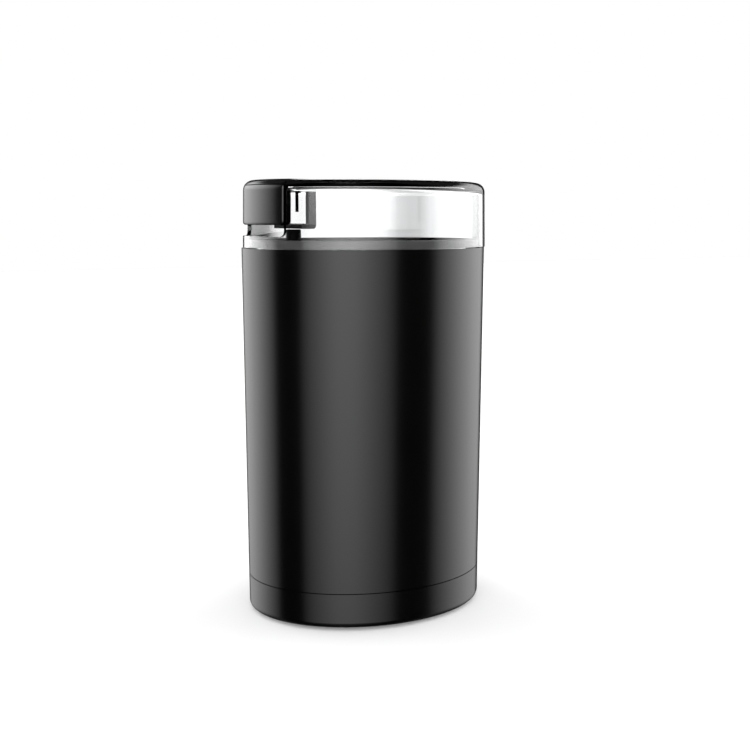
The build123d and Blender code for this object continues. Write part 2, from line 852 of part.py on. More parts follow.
def field_coils():
    # Each coil is a saddle: two sides in the slots and an end turn above and below the iron.
    inner = bore_radius + coil_margin
    outer = coil_slot_radius - coil_margin
    edge = coil_slot_angle - 2 * coil_margin
    side_sweep = edge - 2 * coil_margin
    pieces = []
    for face in (0, 180):
        first = face + 2 * coil_margin
        last = face + 180 - edge
        low = stator_low_z - coil_margin
        high = stator_top_z + coil_margin
        saddle = sector(outer, inner, first, side_sweep, low, high)
        saddle += sector(outer, inner, last, side_sweep, low, high)
        turn = last + side_sweep - first
        wide = outer + coil_spread
        saddle += sector(wide, inner, first, turn, high, stator_top_z + coil_overhang)
        saddle += sector(wide, inner, first, turn, stator_low_z - coil_overhang, low)
        pieces.append(saddle)
    return group(pieces)


def motor_bolts():
    grip = bracket_top_z - lower_low_z + screw_head_height
    points = mirrored_points(bolt_x, bolt_y)
    return group(Pos(bowl_x + x, y, lower_low_z) * screw(grip) for x, y in points)


def across_y(side, shape):
    # Turns a piece drawn along +X out of the shaft to lie along +Y or -Y at brush height.
    return Pos(bowl_x, 0, brush_z) * Rot(0, 0, 90 * side) * shape


def brush_holders():
    inner_y = brush_width / 2 + brush_slack
    inner_z = brush_height / 2 + brush_slack
    start = brush_face + past
    y = inner_y + brush_wall
    z = inner_z + brush_wall
    tube = block(start, holder_end, -y, y, -z, z)
    tube -= block(start - past, holder_end - brush_wall, -inner_y, inner_y, -inner_z, inner_z)
    return group(across_y(side, tube) for side in (-1, 1))


def carbon_brushes():
    half_y = brush_width / 2
    half_z = brush_height / 2
    carbon = block(0, brush_back, -half_y, half_y, -half_z, half_z)
    carbon -= disc(brush_face, -brush_height, brush_height)
    return group(across_y(side, carbon) for side in (-1, 1))


def brush_springs():
    radius = brush_width / 2 - brush_wire
    room = brush_spring_room - brush_wall - fit
    spring = Pos(brush_back, 0, 0) * Rot(0, 90, 0) * coil(radius, brush_wire / 2, brush_turns, room)
    return group(across_y(side, spring) for side in (-1, 1))


# Motor, turning half


def motor_shaft():
    return disc(shaft_radius, shaft_low_z, blade_z + blade_sheet + nut_height / 2, bowl_x)


def rotor_core():
    core = ring(rotor_radius, shaft_radius + slip, stator_low_z, stator_top_z, bowl_x)
    for x, y in around(slot_count, slot_ring, 0):
        core -= disc(slot_radius, 0, shoulder_z, x, y)
    mouth = block(slot_ring, rotor_radius + past, -slot_mouth / 2, slot_mouth / 2, 0, shoulder_z)
    for i in range(slot_count):
        core -= Pos(bowl_x, 0, 0) * Rot(0, 0, 360 / slot_count * i) * mouth
    return core


def rotor_windings():
    outer = slot_ring + slot_radius
    high_z = stator_top_z + winding_gap
    low_z = stator_low_z - winding_gap
    shape = ring(outer, winding_inner, high_z, high_z + winding_overhang, bowl_x)
    shape += ring(outer, winding_inner, low_z - winding_overhang, low_z, bowl_x)
    for x, y in around(slot_count, slot_ring, 0):
        shape += disc(slot_radius - winding_gap, low_z - fit, high_z + fit, x, y)
    return shape


def commutator_hub():
    inner = shaft_radius + slip
    return ring(commutator_hub_radius, inner, commutator_low_z, commutator_top_z, bowl_x)


def commutator_bars():
    step = 360 / slot_count
    inner = commutator_hub_radius + slip
    starts = [i * step + commutator_split / 2 for i in range(slot_count)]
    sweep_angle = step - commutator_split
    return group(
        sector(commutator_radius, inner, start, sweep_angle, commutator_low_z + clear, commutator_top_z)
        for start in starts
    )


def thrust_washers():
    inner = shaft_radius + slip
    low = lower_low_z - bearing_drop - clear
    high = bracket_low_z - bearing_drop - clear
    return group(ring(washer_radius, inner, z - washer_sheet, z, bowl_x) for z in (low, high))


def cooling_fan():
    fan = disc(fan_hub_radius, fan_low_z, fan_top_z, bowl_x)
    fan += disc(fan_radius, fan_low_z, fan_low_z + fan_sheet, bowl_x)
    half = fan_blade_sheet / 2
    blade = block(0, fan_radius - fan_hub_radius - half, -half, half, fan_low_z, fan_top_z - clear)
    blade = Pos(fan_hub_radius - half, 0, 0) * Rot(0, 0, fan_lean) * blade
    for i in range(fan_blade_count):
        fan += Pos(bowl_x, 0, 0) * Rot(0, 0, 360 / fan_blade_count * i) * blade
    return fan - disc(shaft_radius + slip, 0, shoulder_z, bowl_x)


def blade_hub():
    low = bowl_floor_z + hub_lift
    foot = Pos(bowl_x, 0, low) * Circle(hub_base_radius)
    top = Pos(bowl_x, 0, blade_z) * Circle(hub_radius)
    hub = loft([foot, top], ruled=True)
    return hub - disc(shaft_radius + slip, 0, rim_z, bowl_x)


def blade():
    # Bent sheet seen from the side, cut to the plan of two swept wings.
    line = [(-blade_reach, -blade_down), (-blade_root, 0), (blade_root, 0), (blade_reach, blade_up)]
    over = [(x, z + blade_sheet) for x, z in reversed(line)]
    side = make_face(Polyline(*line, *over, close=True))
    bent = extrude(Plane.XZ * side, blade_root, both=True)
    tip_x = blade_reach - blade_tip_radius
    plan = Sketch()
    for way in (-1, 1):
        tip = Pos(way * tip_x, way * blade_tip_offset) * Circle(blade_tip_radius)
        plan += make_hull(Circle(blade_root).edges() + tip.edges())
    low = -blade_down - past
    outline = extrude(Pos(0, 0, low) * plan, blade_up + blade_sheet + past - low)
    sheet = (bent & outline) - disc(shaft_radius + slip, low, blade_up + past)
    return Pos(bowl_x, 0, blade_z) * sheet


def blade_nut():
    low = blade_z + blade_sheet
    hexagon = Pos(bowl_x, 0, low) * RegularPolygon(nut_flats / 2, 6, major_radius=False)
    nut = extrude(hexagon, nut_height)
    dome = Pos(bowl_x, 0, low) * Sphere(nut_height + nut_flats / 10)
    return (nut & dome) - disc(shaft_radius + slip, low - past, low + nut_height / 2 + fit, bowl_x)


# Mains side


def circuit_board():
    half = board_sheet / 2
    wide = board_half_width
    return block(board_x - half, board_x + half, -wide, wide, board_low, board_low + board_height)


def suppression_capacitor():
    high_x = board_x - board_sheet / 2
    low = board_low + capacitor_rise
    half = capacitor_width / 2
    can = block(high_x - capacitor_depth, high_x, -half, half, low, low + capacitor_height)
    return fillet(can.edges().filter_by(Axis.X), capacitor_depth / 6)


def switch_leads():
    start_z = switch_low_z - terminal_length
    face_x = board_x + board_sheet / 2
    out_x = face_x + lead_clear
    end_z = start_z - lead_drop
    pieces = []
    for side in (-1, 1):
        y = side * terminal_y
        path = FilletPolyline(
            (switch_x, y, start_z),
            (switch_x, y, start_z - lead_drop / 4),
            (out_x, y, start_z - lead_drop / 2),
            (out_x, y, end_z),
            (face_x, y, end_z),
            radius=lead_bend - lead_radius,
        )
        section = Plane(origin=path @ 0, z_dir=path % 0) * Circle(lead_radius)
        pieces.append(sweep(section, path=path))
    return group(pieces)


nodes = {
    "body_shell": body_shell,
    "base_cover": base_cover,
    "rubber_feet": rubber_feet,
    "base_screws": base_screws,
    "bowl_carrier": bowl_carrier,
    "collar_ring": collar_ring,
    "carrier_screws": carrier_screws,
    "grinding_bowl": grinding_bowl,
    "bowl_gasket": bowl_gasket,
    "bowl_screws": bowl_screws,
    "shaft_seal": shaft_seal,
    "lid_shell": lid_shell,
    "lid_button": lid_button,
    "push_rod": push_rod,
    "rod_foot": rod_foot,
    "rod_spring": rod_spring,
    "microswitch": microswitch,
    "switch_lever": switch_lever,
    "switch_plunger": switch_plunger,
    "switch_screws": switch_screws,
    "upper_bracket": upper_bracket,
    "lower_bracket": lower_bracket,
    "upper_bush": lambda: bush(bracket_low_z),
    "lower_bush": lambda: bush(lower_low_z),
    "motor_mounts": motor_mounts,
    "mount_screws": mount_screws,
    "stator_core": stator_core,
    "field_coils": field_coils,
    "motor_bolts": motor_bolts,
    "brush_holders": brush_holders,
    "carbon_brushes": carbon_brushes,
    "brush_springs": brush_springs,
    "motor_shaft": motor_shaft,
    "rotor_core": rotor_core,
    "rotor_windings": rotor_windings,
    "commutator_hub": commutator_hub,
    "commutator_bars": commutator_bars,
    "thrust_washers": thrust_washers,
    "cooling_fan": cooling_fan,
    "blade_hub": blade_hub,
    "blade": blade,
    "blade_nut": blade_nut,
    "circuit_board": circuit_board,
    "suppression_capacitor": suppression_capacitor,
    "switch_leads": switch_leads,
}

for name, make in nodes.items():
    export_step(make(), f"parts/{name}.step")
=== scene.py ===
import json
import math

import bpy
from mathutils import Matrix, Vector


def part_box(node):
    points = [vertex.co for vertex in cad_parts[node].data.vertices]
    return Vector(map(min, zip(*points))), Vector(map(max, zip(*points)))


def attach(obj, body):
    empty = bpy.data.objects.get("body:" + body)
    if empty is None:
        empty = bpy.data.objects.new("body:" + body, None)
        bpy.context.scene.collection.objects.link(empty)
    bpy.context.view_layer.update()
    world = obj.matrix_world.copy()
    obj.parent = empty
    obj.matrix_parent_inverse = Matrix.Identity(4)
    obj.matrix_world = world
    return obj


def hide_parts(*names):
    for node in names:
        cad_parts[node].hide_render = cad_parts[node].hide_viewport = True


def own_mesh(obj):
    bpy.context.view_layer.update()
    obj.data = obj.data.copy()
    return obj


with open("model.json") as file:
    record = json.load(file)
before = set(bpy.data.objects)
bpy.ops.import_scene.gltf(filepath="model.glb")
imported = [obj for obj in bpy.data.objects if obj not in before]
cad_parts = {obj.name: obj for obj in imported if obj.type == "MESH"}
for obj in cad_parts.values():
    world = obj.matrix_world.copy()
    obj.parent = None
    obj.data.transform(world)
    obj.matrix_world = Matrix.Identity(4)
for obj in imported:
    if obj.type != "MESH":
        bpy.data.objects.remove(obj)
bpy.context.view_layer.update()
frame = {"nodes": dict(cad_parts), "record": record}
nodes = frame["nodes"]
print("frame loaded,", len(nodes), "pieces")


class Wire:
    # a node's output that takes part in maths
    def __init__(self, tree, out):
        self.tree = tree
        self.out = out

    def maths(self, operation, other=0.0, flipped=False):
        node = self.tree.nodes.new("ShaderNodeMath")
        node.operation = operation
        pair = (other, self) if flipped else (self, other)
        for slot, value in zip(node.inputs, pair):
            if isinstance(value, Wire):
                self.tree.links.new(value.out, slot)
            else:
                slot.default_value = value
        return Wire(self.tree, node.outputs[0])

    def __add__(self, other):
        return self.maths("ADD", other)

    def __radd__(self, other):
        return self.maths("ADD", other, True)

    def __sub__(self, other):
        return self.maths("SUBTRACT", other)

    def __rsub__(self, other):
        return self.maths("SUBTRACT", other, True)

    def __mul__(self, other):
        return self.maths("MULTIPLY", other)

    def __rmul__(self, other):
        return self.maths("MULTIPLY", other, True)

    def __truediv__(self, other):
        return self.maths("DIVIDE", other)

    def __rtruediv__(self, other):
        return self.maths("DIVIDE", other, True)

    def __pow__(self, other):
        return self.maths("POWER", other)

    def __rpow__(self, other):
        return self.maths("POWER", other, True)

    def __gt__(self, other):
        return self.maths("GREATER_THAN", other)

    def __lt__(self, other):
        return self.maths("LESS_THAN", other)

    def __abs__(self):
        return self.maths("ABSOLUTE")


class Tree:
    # a node tree with one way to add a node
    def __init__(self, tree):
        self.tree = tree

    def feed(self, node, socket, value):
        slot = node.inputs[socket]
        if isinstance(value, Wire):
            self.tree.links.new(value.out, slot)
        else:
            slot.default_value = value

    def add(self, kind, settings=None, sockets=None, out=0):
        node = self.tree.nodes.new(kind)
        for name, value in (settings or {}).items():
            if name == "stops":
                self.setStops(node.color_ramp, value)
            else:
                setattr(node, name, value)
        for socket, value in (sockets or {}).items():
            self.feed(node, socket, value)
        if out is None:
            return node
        if isinstance(out, tuple):
            return [Wire(self.tree, node.outputs[name]) for name in out]
        return Wire(self.tree, node.outputs[out])

    def setStops(self, ramp, stops):
        while len(ramp.elements) < len(stops):
            ramp.elements.new(1.0)
        for element, (spot, value) in zip(ramp.elements, stops):
            element.position = spot
            element.color = grey(value)

    def ramp(self, value, stops):
        return self.add("ShaderNodeValToRGB", {"stops": stops}, {"Fac": value})

    def parts(self, vector):
        return self.add("ShaderNodeSeparateXYZ", sockets={0: vector}, out=("X", "Y", "Z"))

    def join(self, x, y, z):
        return self.add("ShaderNodeCombineXYZ", sockets={0: x, 1: y, 2: z})

    def noise(self, where, scale, detail, rough=0.5):
        return self.add("ShaderNodeTexNoise", sockets={"Vector": where, "Scale": scale, "Detail": detail,
                                                       "Roughness": rough})

    def stretched(self, where, scale):
        return self.add("ShaderNodeMapping", sockets={"Vector": where, "Scale": scale})

    def tint(self, share, colours):
        first, second = colours
        return self.add("ShaderNodeMix", {"data_type": "RGBA"}, {0: share, 6: first, 7: second}, out=2)


class Finish(Tree):
    # one material and its shader
    def __init__(self, name, **constants):
        self.material = bpy.data.materials.new(name)
        self.material.use_nodes = True
        super().__init__(self.material.node_tree)
        self.shader = self.tree.nodes["Principled BSDF"]
        self.output = self.tree.nodes["Material Output"]
        self.give(**constants)

    def give(self, **sockets):
        for socket, value in sockets.items():
            self.feed(self.shader, socket.replace("_", " "), value)

    def where(self):
        return self.add("ShaderNodeTexCoord", out="Object")

    def bump(self, height, strength, distance):
        self.give(Normal=self.add("ShaderNodeBump", sockets={"Strength": strength, "Distance": distance,
                                                             "Height": height}))


def grey(value):
    return (value, value, value, 1)


def sway(pattern, amount):
    # a noise about its middle, as a change of roughness
    return (pattern - 0.5) * amount


def place(name, data):
    piece = bpy.data.objects.new(name, data)
    bpy.context.scene.collection.objects.link(piece)
    return piece


def settle(piece):
    # what the modifiers make, kept as a plain mesh
    made = bpy.data.meshes.new_from_object(piece.evaluated_get(bpy.context.evaluated_depsgraph_get()))
    piece.modifiers.clear()
    piece.data = made


def standFor(piece, body, node):
    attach(piece, body)
    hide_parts(node)


# Camera, at the photograph's height and turn
camera = {
    "place": (-0.1957, -0.4297, 0.1593),
    "tilt": 82.2,
    "turn": -25.0,
    "lens": 55.54,
    "film": 36.0,
    "near": 0.01,
}


def makeCamera():
    data = bpy.data.cameras.new("photoCamera")
    data.lens = camera["lens"]
    data.sensor_width = camera["film"]
    data.clip_start = camera["near"]
    eye = place("photoCamera", data)
    eye.location = camera["place"]
    eye.rotation_euler = (math.radians(camera["tilt"]), 0, math.radians(camera["turn"]))
    bpy.context.scene.camera = eye


makeCamera()
print("camera set")

# Stage
studio = {
    # brightness round the stage, by the angle from the camera's side: key light, dark gap,
    # side boxes, dark gap, backdrop with a dim middle
    "around": [(0, 4.0), (8, 3.9), (17, 3.1), (25, 2.3), (32, 1.65), (37, 0.95), (40, 0.7), (42, 0.01),
               (71.5, 0.01), (74.5, 0.7), (80.5, 1.7), (86, 2.4), (92.5, 3.1), (100, 3.8), (110, 4.2),
               (125, 3.8), (140, 2.6), (148, 2.1), (153, 1.5), (156.5, 0.04), (171.4, 0.04), (172.8, 1.6),
               (178.4, 1.7), (178.8, 1.35), (179.2, 1.1), (179.6, 0.97), (180, 0.97)],
    "strongest": 4.2,
    # how far the backdrop's dim middle lies to the right
    "backdropShift": 0.036,
    # share of that brightness by height above the horizon
    "rising": [(-90, 0.02), (-40, 0.04), (-28, 0.25), (-20, 0.4), (-15, 0.49), (-8, 0.57), (-4, 0.62),
               (0, 0.68), (4, 0.74), (9, 1.0), (28, 1.0), (37, 0.03), (74, 0.03), (80, 0.16), (90, 0.16)],
    "overhead": 2.4,
    "overheadSpread": 120.0,
    "floor": 6.0,
    "floorColour": grey(0.8),
    "floorRough": 0.7,
    "floorGlow": 0.15,
}


def lightStage():
    world = bpy.data.worlds.new("studioLight")
    world.use_nodes = True
    sky = Tree(world.node_tree)
    x, y, z = sky.parts(sky.add("ShaderNodeTexCoord", out="Generated"))
    turn = math.radians(camera["turn"])
    ahead = x * math.sin(turn) - y * math.cos(turn)
    aside = x * math.cos(turn) + y * math.sin(turn) + ahead.maths("MINIMUM") * studio["backdropShift"]
    angle = abs(aside.maths("ARCTAN2", ahead)) / math.pi
    rise = z.maths("ARCSINE") / math.pi + 0.5
    glow = sky.ramp(angle, [(a / 180, v / studio["strongest"]) for a, v in studio["around"]])
    share = sky.ramp(rise, [(a / 180 + 0.5, v) for a, v in studio["rising"]])
    seen = sky.add("ShaderNodeLightPath", out="Is Camera Ray")
    background = world.node_tree.nodes["Background"]
    sky.feed(background, "Color", (1, 1, 1, 1))
    sky.feed(background, "Strength", seen + (1 - seen) * glow * share * studio["strongest"])
    bpy.context.scene.world = world

    lamp = bpy.data.lights.new("overhead", "SUN")
    lamp.energy = studio["overhead"]
    lamp.angle = math.radians(studio["overheadSpread"])
    overhead = place("overhead", lamp)
    overhead.location = (0, 0, 1)
    overhead.visible_glossy = False
    overhead.visible_transmission = False


def makeFloor():
    ground = Finish("paleFloor", Base_Color=studio["floorColour"], Roughness=studio["floorRough"])
    seen = ground.add("ShaderNodeLightPath", out="Is Camera Ray")
    ground.give(Specular_IOR_Level=0.0, Emission_Strength=1.0, Emission_Color=seen * studio["floorGlow"])
    bpy.ops.mesh.primitive_plane_add(size=studio["floor"])
    floor = bpy.context.object
    floor.name = "paleFloor"
    floor.data.materials.append(ground.material)
    floor.visible_glossy = False
    floor.visible_transmission = False
    floor.visible_shadow = False


lightStage()
makeFloor()
print("studio lit")

# Sizes that the lid shares with the button's finish
bowlAxis = 0.008    # x of bowl and motor
lid = {
    "half": (0.0504, 0.0409),
    "shift": 0.0005,
    "low": 0.147,
    "high": 0.173,
    "draft": 0.0004,
    "edge": 0.004,
    "wall": 0.0016,
    "top": 0.0029,
    "innerEdge": 0.0022,
    "lip": 0.0003,
    "leastLip": 0.0001,
    "past": 0.002,
    "steps": 288,
    "arcSteps": 12,
    "sharp": 30.0,
}

# Finishes: noise scales to the metre, bump depths in metres
mould = {"cloud": 22.0, "cloudDetail": 3.0, "cloudSway": 0.05, "grainDetail": 2.0, "grainRough": 0.6,
         "grainSway": 0.03, "depth": 0.0002}


def moulded(name, colours, rough, grain, scale, gloss=0.5):
    # moulded plastic or rubber: clouds in the gloss, fine grain in the skin
    finish = Finish(name, Specular_IOR_Level=gloss)
    where = finish.where()
    cloud = finish.noise(where, mould["cloud"], mould["cloudDetail"])
    skin = finish.noise(where, scale, mould["grainDetail"], mould["grainRough"])
    finish.give(Base_Color=finish.tint(cloud, colours),
                Roughness=rough + sway(cloud, mould["cloudSway"]) + sway(skin, mould["grainSway"]))
    finish.bump(skin, grain, mould["depth"])
    return finish.material


brush = {"lineDetail": 4.0, "lineRough": 0.7, "lineShare": 0.6, "lineSway": 0.16, "cloud": 40.0,
         "cloudDetail": 2.0, "strength": 0.05, "depth": 0.0002}


def brushed(name, colours, rough, lines):
    # drawn or ground metal: fine lines along one way
    finish = Finish(name, Metallic=1.0)
    where = finish.where()
    line = finish.noise(finish.stretched(where, lines), 1.0, brush["lineDetail"], brush["lineRough"])
    cloud = finish.noise(where, brush["cloud"], brush["cloudDetail"])
    share = line * brush["lineShare"] + cloud * (1 - brush["lineShare"])
    finish.give(Base_Color=finish.tint(share, colours), Roughness=rough + sway(line, brush["lineSway"]))
    finish.bump(line, brush["strength"], brush["depth"])
    return finish.material


spin = {"rings": 2600.0, "ringDetail": 3.0, "ringRough": 0.7, "ringShare": 0.5, "ringSway": 0.14,
        "cloud": 60.0, "cloudDetail": 2.0, "strength": 0.06, "depth": 0.0001}


def reachFromBowl(x, y):
    off = x - bowlAxis
    return (off * off + y * y) ** 0.5


def spun(name, colours, rough):
    # pressed and spun steel: rings about the bowl's axis
    finish = Finish(name, Metallic=1.0)
    where = finish.where()
    x, y, z = finish.parts(where)
    across = finish.join(reachFromBowl(x, y) * spin["rings"], z * spin["rings"], 0.0)
    ring = finish.noise(across, 1.0, spin["ringDetail"], spin["ringRough"])
    cloud = finish.noise(where, spin["cloud"], spin["cloudDetail"])
    share = ring * spin["ringShare"] + cloud * (1 - spin["ringShare"])
    finish.give(Base_Color=finish.tint(share, colours), Roughness=rough + sway(ring, spin["ringSway"]))
    finish.bump(ring, spin["strength"], spin["depth"])
    return finish.material


sheets = {"metallic": 0.8, "each": 0.0005, "rough": 0.35, "rust": 160.0, "rustDetail": 4.0,
          "rustShare": 0.5, "rustRough": 0.25, "strength": 0.35, "depth": 0.0002}


def stacked(name, colours):
    # stamped iron sheets, one on the other
    finish = Finish(name, Metallic=sheets["metallic"])
    where = finish.where()
    x, y, z = finish.parts(where)
    wave = abs((z / sheets["each"]).maths("FRACT") - 0.5) * 2.0
    rust = finish.noise(where, sheets["rust"], sheets["rustDetail"])
    share = wave * (1 - sheets["rustShare"]) + rust * sheets["rustShare"]
    finish.give(Base_Color=finish.tint(share, colours),
                Roughness=sheets["rough"] + rust * sheets["rustRough"])
    finish.bump(wave, sheets["strength"], sheets["depth"])
    return finish.material


clear = {"bend": 1.49, "cloud": 30.0, "cloudDetail": 2.0, "colours": ((1, 1, 1, 1), (0.97, 0.98, 0.985, 1))}


def clearPlastic():
    finish = Finish("clearLid", Roughness=0.0, IOR=clear["bend"], Transmission_Weight=1.0)
    cloud = finish.noise(finish.where(), clear["cloud"], clear["cloudDetail"])
    finish.give(Base_Color=finish.tint(cloud, clear["colours"]))
    return finish.material


satin = {"bend": 1.5, "colours": (grey(0.0004), grey(0.0008)), "rough": 0.19, "cloud": 18.0,
         "cloudDetail": 3.0, "cloudSway": 0.04, "grain": 1500.0, "grainDetail": 2.0, "grainRough": 0.6,
         "grainSway": 0.03, "strength": 0.02, "depth": 0.0001}
# where the button gets painted shade, a dull near black shader: in from the lid's skin, under its top, on its
# legs or low on its web
paintedShadeSide = {"skin": 0.97, "top": 0.1715, "legs": 0.0435, "web": 0.1562, "colour": grey(0.0005),
            "rough": 0.6, "gloss": 0.03}


# mask of where the button's painted shade goes
def paintedShadeShare(finish, where):
    x, y, z = finish.parts(where)
    across = (x - lid["shift"]) / lid["half"][0]
    along = y / lid["half"][1]
    inside = (across * across + along * along < paintedShadeSide["skin"]) * (z < paintedShadeSide["top"])
    return inside * (reachFromBowl(x, y) > paintedShadeSide["legs"]).maths("MAXIMUM", z < paintedShadeSide["web"])


def satinBlack(name, paintedShadeSides=False):
    finish = Finish(name, IOR=satin["bend"])
    where = finish.where()
    cloud = finish.noise(where, satin["cloud"], satin["cloudDetail"])
    skin = finish.noise(where, satin["grain"], satin["grainDetail"], satin["grainRough"])
    finish.give(Base_Color=finish.tint(cloud, satin["colours"]),
                Roughness=satin["rough"] + sway(cloud, satin["cloudSway"]) + sway(skin, satin["grainSway"]))
    finish.bump(skin, satin["strength"], satin["depth"])
    if paintedShadeSides:
        # painted shade: the hidden sides get a dull near black shader in place of the gloss
        glossy = Wire(finish.tree, finish.shader.outputs[0])
        shadeDark = finish.add("ShaderNodeBsdfPrincipled", sockets={"Base Color": paintedShadeSide["colour"],
                                                               "Roughness": paintedShadeSide["rough"],
                                                               "Specular IOR Level": paintedShadeSide["gloss"]})
        mixed = finish.add("ShaderNodeMixShader", sockets={0: paintedShadeShare(finish, where), 1: glossy, 2: shadeDark})
        finish.feed(finish.output, "Surface", mixed)
    return finish.material


collar = {"colours": (grey(0.13), grey(0.16)), "metallic": 0.12, "rough": 0.36, "along": 40.0, "up": 5000.0,
          "lineDetail": 3.0, "lineRough": 0.7, "lineSway": 0.1, "strength": 0.03, "depth": 0.0001}


def silverCollar():
    # lines run round it
    finish = Finish("silverCollar", Metallic=collar["metallic"])
    x, y, z = finish.parts(finish.where())
    stretched = finish.join(x * collar["along"], y * collar["along"], z * collar["up"])
    line = finish.noise(stretched, 1.0, collar["lineDetail"], collar["lineRough"])
    finish.give(Base_Color=finish.tint(line, collar["colours"]),
                Roughness=collar["rough"] + sway(line, collar["lineSway"]))
    finish.bump(line, collar["strength"], collar["depth"])
    return finish.material


# each: two colours, roughness, then grain and its scale, or the lines' scale along x, y and z
finishes = {
    "black_plastic": satinBlack("satinBlack"),
    "clear_plastic": clearPlastic(),
    "collar_steel": silverCollar(),
    "bowl_steel": spun("spunSteel", ((0.52, 0.52, 0.51, 1), (0.66, 0.66, 0.65, 1)), 0.28),
    "blade_steel": brushed("groundBlade", (grey(0.5), grey(0.68)), 0.24, (90, 2400, 2400)),
    "screw_steel": brushed("zincScrew", ((0.5, 0.5, 0.49, 1), (0.66, 0.66, 0.64, 1)), 0.34,
                           (900, 900, 2200)),
    "foot_rubber": moulded("footRubber", (grey(0.012), grey(0.022)), 0.75, 0.2, 2200.0),
    "seal_rubber": moulded("sealRubber", (grey(0.02), grey(0.034)), 0.7, 0.15, 2200.0),
    "cast_bracket": moulded("castBracket", ((0.34, 0.34, 0.33, 1), (0.46, 0.46, 0.45, 1)), 0.5, 0.4, 1400.0),
    "bronze": brushed("sinteredBronze", ((0.42, 0.25, 0.1, 1), (0.55, 0.34, 0.15, 1)), 0.45,
                      (1800, 1800, 1800)),
    "lamination": stacked("ironSheets", ((0.12, 0.115, 0.11, 1), (0.3, 0.29, 0.28, 1))),
    "copper": brushed("enamelCopper", ((0.42, 0.14, 0.05, 1), (0.66, 0.27, 0.11, 1)), 0.32, (300, 300, 900)),
    "brass": brushed("turnedBrass", ((0.6, 0.38, 0.12, 1), (0.76, 0.53, 0.2, 1)), 0.3, (200, 200, 3200)),
    "carbon": moulded("brushCarbon", ((0.012, 0.012, 0.013, 1), (0.05, 0.05, 0.052, 1)), 0.55, 0.3, 2600.0),
    "resin": moulded("hubResin", ((0.09, 0.03, 0.012, 1), (0.14, 0.05, 0.02, 1)), 0.4, 0.1, 1500.0),
    "nylon": moulded("fanNylon", ((0.62, 0.61, 0.57, 1), (0.72, 0.71, 0.67, 1)), 0.45, 0.06, 900.0),
    "switch_case": moulded("switchCase", ((0.012, 0.012, 0.013, 1), (0.02, 0.02, 0.021, 1)), 0.38, 0.15,
                           1600.0),
    "spring_steel": brushed("springSteel", (grey(0.42), grey(0.6)), 0.28, (1600, 1600, 1600)),
    "board": moulded("paperBoard", ((0.3, 0.17, 0.06, 1), (0.4, 0.24, 0.09, 1)), 0.55, 0.12, 1300.0),
    "capacitor": moulded("filmCapacitor", ((0.42, 0.26, 0.03, 1), (0.52, 0.33, 0.05, 1)), 0.35, 0.05, 900.0),
    "lead": moulded("leadSleeve", ((0.02, 0.06, 0.22, 1), (0.03, 0.09, 0.3, 1)), 0.45, 0.06, 900.0),
}
# pieces that look unlike the rest of their slot
ownFinish = {
    "push_rod": moulded("dullBlack", (grey(0.0006), grey(0.001)), 0.6, 0.1, 1800.0, 0.1),
    # the button, with painted shade on its hidden sides
    "lid_button": satinBlack("buttonBlack", True),
}
slotOf = {row["node"]: row["material_slot"] for row in frame["record"]["subparts"]}
for name, piece in nodes.items():
    piece.data.materials.clear()
    piece.data.materials.append(ownFinish.get(name) or finishes[slotOf[name]])
print("finishes set:", len(finishes))

# Clear lid with the button's window
window = {
    "angle": 22.5,
    "radius": 0.0347,
    "sill": 0.15175,
    "corner": 0.002,
    "cornerSteps": 8,
    "far": 0.1,
    "arcSteps": 24,
}


def quarter(steps):
    return [math.pi / 2 * k / steps for k in range(steps + 1)]


def ovalRing(z, grow, inset):
    # one ring of the oval at a height, drawn in by the draft and moved in along its normals
    pull = lid["draft"] * (z - lid["low"]) / (lid["high"] - lid["low"])
    a = lid["half"][0] - pull + grow
    b = lid["half"][1] - pull + grow
    ring = []
    for i in range(lid["steps"]):
        t = 2 * math.pi * i / lid["steps"]
        nx, ny = b * math.cos(t), a * math.sin(t)
        size = math.hypot(nx, ny)
        ring.append((lid["shift"] + a * math.cos(t) - inset * nx / size,
                     b * math.sin(t) - inset * ny / size, z))
    return ring


def ovalForm(low, high, grow, edge, lip):
    # an oval block with a rounded top edge
    rings = [ovalRing(low, grow, lip), ovalRing(low + max(lip, lid["leastLip"]), grow, 0.0)]
    rings.append(ovalRing((low + high - edge) / 2, grow, 0.0))
    for turn in quarter(lid["arcSteps"]):
        rings.append(ovalRing(high - edge + edge * math.sin(turn), grow, edge * (1 - math.cos(turn))))
    return rings


def wedgeRing(z, inset):
    # plan of the window: two flanks, an arc about the bowl and a far side
    inner = window["radius"]
    lean = math.radians(window["angle"])
    k = inset / math.sin(lean)
    along = math.sqrt(inner ** 2 - (k * math.sin(lean)) ** 2) - k * math.cos(lean)
    start = math.atan2(along * math.sin(lean), k + along * math.cos(lean))
    tip = bowlAxis - k
    far = window["far"]
    ring = [(tip - far * math.cos(lean), side * far * math.sin(lean), z) for side in (1, -1)]
    for i in range(window["arcSteps"] + 1):
        turn = -start + 2 * start * i / window["arcSteps"]
        ring.append((bowlAxis - inner * math.cos(turn), inner * math.sin(turn), z))
    return ring


def wedgeForm():
    # rounded at the sill, then straight up through the roof
    rings = []
    for turn in quarter(window["cornerSteps"]):
        height = window["sill"] + window["corner"] * (1 - math.cos(turn))
        rings.append(wedgeRing(height, window["corner"] * (1 - math.sin(turn))))
    rings.append(wedgeRing(lid["high"] + lid["past"], 0.0))
    return rings


def stackRings(name, rings):
    count = len(rings[0])
    points = [point for ring in rings for point in ring]
    faces = [tuple(reversed(range(count)))]
    for k in range(len(rings) - 1):
        for i in range(count):
            j = (i + 1) % count
            faces.append((k * count + i, k * count + j, (k + 1) * count + j, (k + 1) * count + i))
    faces.append(tuple(range((len(rings) - 1) * count, len(rings) * count)))
    mesh = bpy.data.meshes.new(name)
    mesh.from_pydata(points, [], faces)
    return place(name, mesh)


def carve(piece, tool):
    cut = piece.modifiers.new("cut", "BOOLEAN")
    cut.operation = "DIFFERENCE"
    cut.solver = "EXACT"
    cut.object = tool
    settle(piece)
    bpy.data.objects.remove(tool)


